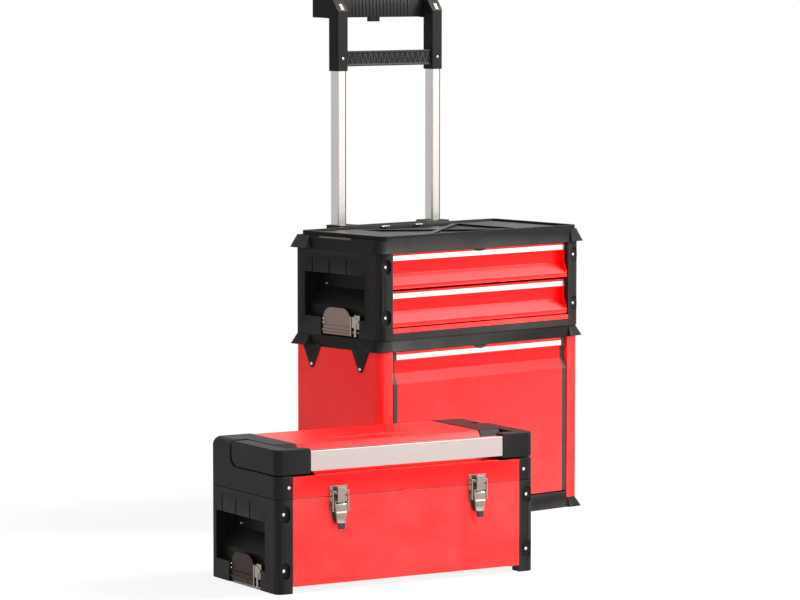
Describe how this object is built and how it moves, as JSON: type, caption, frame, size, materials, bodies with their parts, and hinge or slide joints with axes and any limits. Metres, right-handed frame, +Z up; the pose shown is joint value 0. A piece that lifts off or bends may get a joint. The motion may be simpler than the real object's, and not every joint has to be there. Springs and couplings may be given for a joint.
{
  "type": "stackable tool trolley",
  "caption": "Wheeled tool trolley in stacking modules: tilting bin, lift-off drawer chest, telescopic handle and a separate carrying box.",
  "frame": {"origin": "centre of the lower chest's footprint on the floor", "axes": "+Z up, -Y towards the drawer fronts, +X to the right seen from the front"},
  "size_m": [1.0274, 0.8357, 0.918],
  "materials": {
    "red_enamel": "gloss powder coat",
    "black_moulding": "fine moulded grain",
    "bright_strip": "brushed bright strip",
    "tube_aluminium": "drawn and anodised",
    "zinc_plate": "zinc plated pressing",
    "screw_steel": "bright plated",
    "tyre_rubber": "moulded tread",
    "brown_plate": "bronze lacquered pressing"
  },
  "bodies": {
    "cart": {"base_frame": "black_moulding", "lower_shell": "red_enamel", "lower_back": "black_moulding", "top_collar": "black_moulding", "collar_screws": "screw_steel", "axle": "zinc_plate", "axle_caps": "black_moulding", "axle_brackets": "zinc_plate", "outer_rails": "black_moulding", "rail_bars": "black_moulding"},
    "bin": {"bin_door": "red_enamel", "bin_strip": "bright_strip", "bin_end_caps": "black_moulding", "bin_tub": "black_moulding"},
    "wheel_left": {"wheel_tyre_left": "tyre_rubber", "wheel_hub_left": "black_moulding"},
    "wheel_right": {"wheel_tyre_right": "tyre_rubber", "wheel_hub_right": "black_moulding"},
    "handle": {"handle_tubes": "tube_aluminium", "handle_necks": "black_moulding", "handle_crossbar": "black_moulding", "handle_grip": "black_moulding", "handle_bolts": "screw_steel"},
    "release": {"release_button": "black_moulding"},
    "chest": {"chest_base": "black_moulding", "chest_rail": "red_enamel", "chest_ends": "black_moulding", "chest_back": "black_moulding", "chest_screws": "screw_steel", "drawer_runners": "zinc_plate", "chest_deck": "black_moulding", "deck_catches": "zinc_plate", "chest_latch_angles": "zinc_plate"},
    "drawer_top": {"drawer_upper_front": "red_enamel", "drawer_upper_strip": "bright_strip", "drawer_upper_tray": "red_enamel"},
    "drawer_bottom": {"drawer_lower_front": "red_enamel", "drawer_lower_strip": "bright_strip", "drawer_lower_tray": "red_enamel"},
    "chest_catch_left": {"chest_latch_left": "brown_plate"},
    "chest_catch_right": {"chest_latch_right": "brown_plate"},
    "box": {"box_ends": "black_moulding", "box_body": "red_enamel", "box_screws": "screw_steel", "box_latch_angles": "zinc_plate", "hinge_leaves_body": "zinc_plate", "draw_bases": "zinc_plate"},
    "lid": {"box_lid": "red_enamel", "lid_caps": "black_moulding", "lid_screws": "screw_steel", "hinge_leaves_lid": "zinc_plate", "draw_keepers": "zinc_plate"},
    "carry_handle": {"carry_arms": "black_moulding", "carry_bar": "bright_strip"},
    "lever_left": {"draw_lever_left": "zinc_plate"},
    "lever_right": {"draw_lever_right": "zinc_plate"},
    "loop_left": {"draw_loop_left": "zinc_plate"},
    "loop_right": {"draw_loop_right": "zinc_plate"},
    "box_catch_left": {"box_latch_left": "brown_plate"},
    "box_catch_right": {"box_latch_right": "brown_plate"}
  },
  "joints": [
    {"name": "bin_tilt", "type": "hinge", "parent": "cart", "child": "bin", "pos_m": [0, -0.105, 0.0355], "axis": [1, 0, 0], "range_deg": [0, 28]},
    {"name": "wheel_spin_left", "type": "hinge", "parent": "cart", "child": "wheel_left", "pos_m": [-0.211, 0.185, 0.07], "axis": [1, 0, 0], "continuous": true},
    {"name": "wheel_spin_right", "type": "hinge", "parent": "cart", "child": "wheel_right", "pos_m": [0.211, 0.185, 0.07], "axis": [1, 0, 0], "continuous": true},
    {"name": "handle_slide", "type": "slide", "parent": "cart", "child": "handle", "axis": [0, 0, 1], "range_m": [-0.268, 0]},
    {"name": "release_press", "type": "slide", "parent": "handle", "child": "release", "axis": [0, 0, 1], "range_m": [0, 0.006], "stiffness_N_per_m": 400, "springref_m": -0.003},
    {"name": "chest_lift", "type": "slide", "parent": "cart", "child": "chest", "axis": [0, 0, 1], "range_m": [0, 0.12]},
    {"name": "drawer_top_slide", "type": "slide", "parent": "chest", "child": "drawer_top", "axis": [0, -1, 0], "range_m": [0, 0.15]},
    {"name": "drawer_bottom_slide", "type": "slide", "parent": "chest", "child": "drawer_bottom", "axis": [0, -1, 0], "range_m": [0, 0.15]},
    {"name": "chest_catch_left_turn", "type": "hinge", "parent": "chest", "child": "chest_catch_left", "pos_m": [-0.23175, -0.004, 0.337], "axis": [0, -1, 0], "range_deg": [0, 60]},
    {"name": "chest_catch_right_turn", "type": "hinge", "parent": "chest", "child": "chest_catch_right", "pos_m": [0.23175, -0.004, 0.337], "axis": [0, 1, 0], "range_deg": [0, 60]},
    {"name": "box_lift", "type": "slide", "parent": "cart", "child": "box", "axis": [0, 0, 1], "range_m": [0, 0.2]},
    {"name": "lid_turn", "type": "hinge", "parent": "box", "child": "lid", "pos_m": [-0.50983, -0.32, 0.1475], "axis": [-0.9833, 0.1822, 0], "range_deg": [0, 95]},
    {"name": "carry_turn", "type": "hinge", "parent": "lid", "child": "carry_handle", "pos_m": [-0.52613, -0.4079, 0.211], "axis": [-0.9833, 0.1822, 0], "range_deg": [0, 90]},
    {"name": "lever_turn_left", "type": "hinge", "parent": "box", "child": "lever_left", "pos_m": [-0.67649, -0.52394, 0.134], "axis": [-0.9833, 0.1822, 0], "range_deg": [0, 150]},
    {"name": "loop_turn_left", "type": "hinge", "parent": "lever_left", "child": "loop_left", "pos_m": [-0.67649, -0.52394, 0.125], "axis": [-0.9833, 0.1822, 0], "range_deg": [-150, 0]},
    {"name": "lever_turn_right", "type": "hinge", "parent": "box", "child": "lever_right", "pos_m": [-0.42733, -0.57012, 0.134], "axis": [-0.9833, 0.1822, 0], "range_deg": [0, 150]},
    {"name": "loop_turn_right", "type": "hinge", "parent": "lever_right", "child": "loop_right", "pos_m": [-0.42733, -0.57012, 0.125], "axis": [-0.9833, 0.1822, 0], "range_deg": [-150, 0]},
    {"name": "box_catch_left_turn", "type": "hinge", "parent": "box", "child": "box_catch_left", "pos_m": [-0.75811, -0.39338, 0.01], "axis": [-0.1822, -0.9833, 0], "range_deg": [0, 60]},
    {"name": "box_catch_right_turn", "type": "hinge", "parent": "box", "child": "box_catch_right", "pos_m": [-0.30434, -0.47748, 0.01], "axis": [0.1822, 0.9833, 0], "range_deg": [0, 60]}
  ],
  "couplings": [
    {"joint": "loop_turn_left", "follows": "lever_turn_left", "ratio": -1},
    {"joint": "loop_turn_right", "follows": "lever_turn_right", "ratio": -1}
  ]
}
